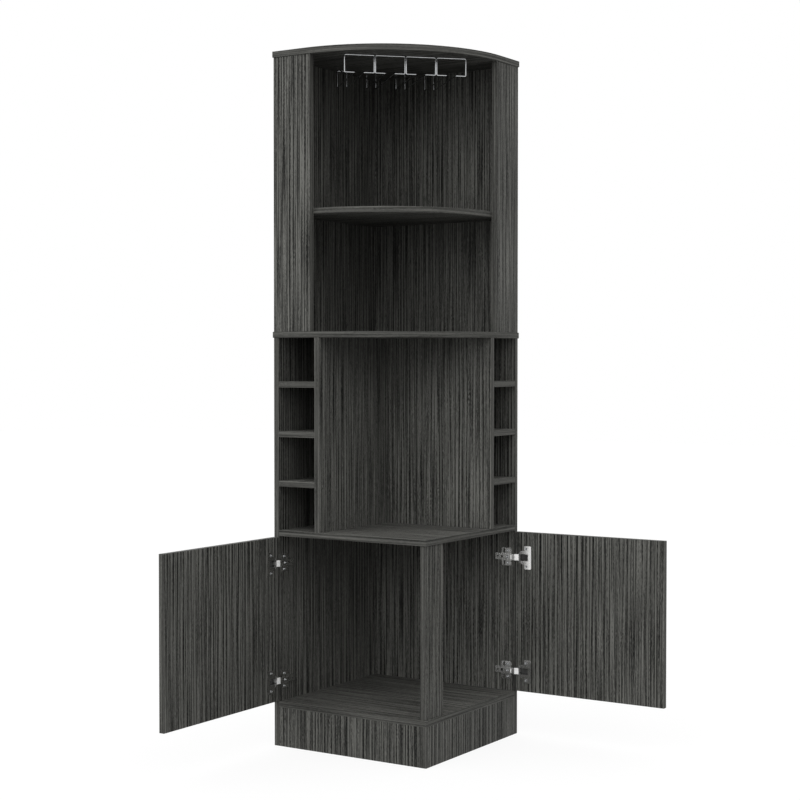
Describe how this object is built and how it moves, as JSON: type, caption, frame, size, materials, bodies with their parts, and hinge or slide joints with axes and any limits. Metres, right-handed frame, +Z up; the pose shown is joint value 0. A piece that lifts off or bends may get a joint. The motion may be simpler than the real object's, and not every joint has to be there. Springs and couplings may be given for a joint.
{
  "type": "corner bar cabinet",
  "caption": "Tall corner bar cabinet with a hinged cupboard, bottle cubbies round an open niche, and a rounded display top with a hanging stem rack.",
  "frame": {"origin": "the cabinet's back corner on the floor, where the outer faces of its two wall panels meet", "axes": "+Z up, +X along the right wall panel, -Y along the left wall panel; the open fronts face -Y and +X"},
  "size_m": [0.8705, 0.891, 1.743],
  "materials": {
    "carcase_board": "charcoal wood-grain melamine, satin",
    "door_board": "charcoal wood-grain melamine, satin",
    "stile_board": "charcoal wood-grain melamine, satin",
    "hinge_steel": "nickel plated steel",
    "rack_wire": "bright chromed wire",
    "screw_steel": "zinc plated steel",
    "dowel_wood": "bare beech"
  },
  "bodies": {
    "carcase": {"corner_post": "carcase_board", "counter": "carcase_board", "cubby_dowels": "dowel_wood", "cupboard_dowels": "dowel_wood", "cupboard_floor": "carcase_board", "display_dowels": "dowel_wood", "display_shelf": "carcase_board", "display_shelf_screws": "screw_steel", "left_cubby_shelf_1": "carcase_board", "left_cubby_shelf_2": "carcase_board", "left_cubby_shelf_3": "carcase_board", "left_divider": "carcase_board", "left_lower_hinge_arm": "hinge_steel", "left_lower_hinge_plate": "hinge_steel", "left_plate_screws": "screw_steel", "left_plinth": "carcase_board", "left_stile": "stile_board", "left_upper_hinge_arm": "hinge_steel", "left_upper_hinge_plate": "hinge_steel", "left_upper_panel": "carcase_board", "left_wall_panel": "carcase_board", "lower_frame_screws": "screw_steel", "middle_shelf": "carcase_board", "rack_loop_1": "rack_wire", "rack_loop_2": "rack_wire", "rack_loop_3": "rack_wire", "rack_loop_4": "rack_wire", "rack_screws": "screw_steel", "right_cubby_shelf_1": "carcase_board", "right_cubby_shelf_2": "carcase_board", "right_cubby_shelf_3": "carcase_board", "right_divider": "carcase_board", "right_lower_hinge_arm": "hinge_steel", "right_lower_hinge_plate": "hinge_steel", "right_plate_screws": "screw_steel", "right_plinth": "carcase_board", "right_stile": "stile_board", "right_upper_hinge_arm": "hinge_steel", "right_upper_hinge_plate": "hinge_steel", "right_upper_panel": "carcase_board", "right_wall_panel": "carcase_board", "top": "carcase_board"},
    "left_door": {"left_cup_screws": "screw_steel", "left_door": "door_board", "left_lower_hinge_cup": "hinge_steel", "left_lower_hinge_pin": "hinge_steel", "left_upper_hinge_cup": "hinge_steel", "left_upper_hinge_pin": "hinge_steel"},
    "right_door": {"right_cup_screws": "screw_steel", "right_door": "door_board", "right_lower_hinge_cup": "hinge_steel", "right_lower_hinge_pin": "hinge_steel", "right_upper_hinge_cup": "hinge_steel", "right_upper_hinge_pin": "hinge_steel"}
  },
  "joints": [
    {"name": "left_door_hinge", "type": "hinge", "parent": "carcase", "child": "left_door", "pos_m": [0.0075, -0.461, 0.3139], "axis": [0, 0, -1], "range_deg": [-90, 10]},
    {"name": "right_door_hinge", "type": "hinge", "parent": "carcase", "child": "right_door", "pos_m": [0.461, -0.0075, 0.3139], "axis": [0, 0, 1], "range_deg": [-90, 10]}
  ]
}
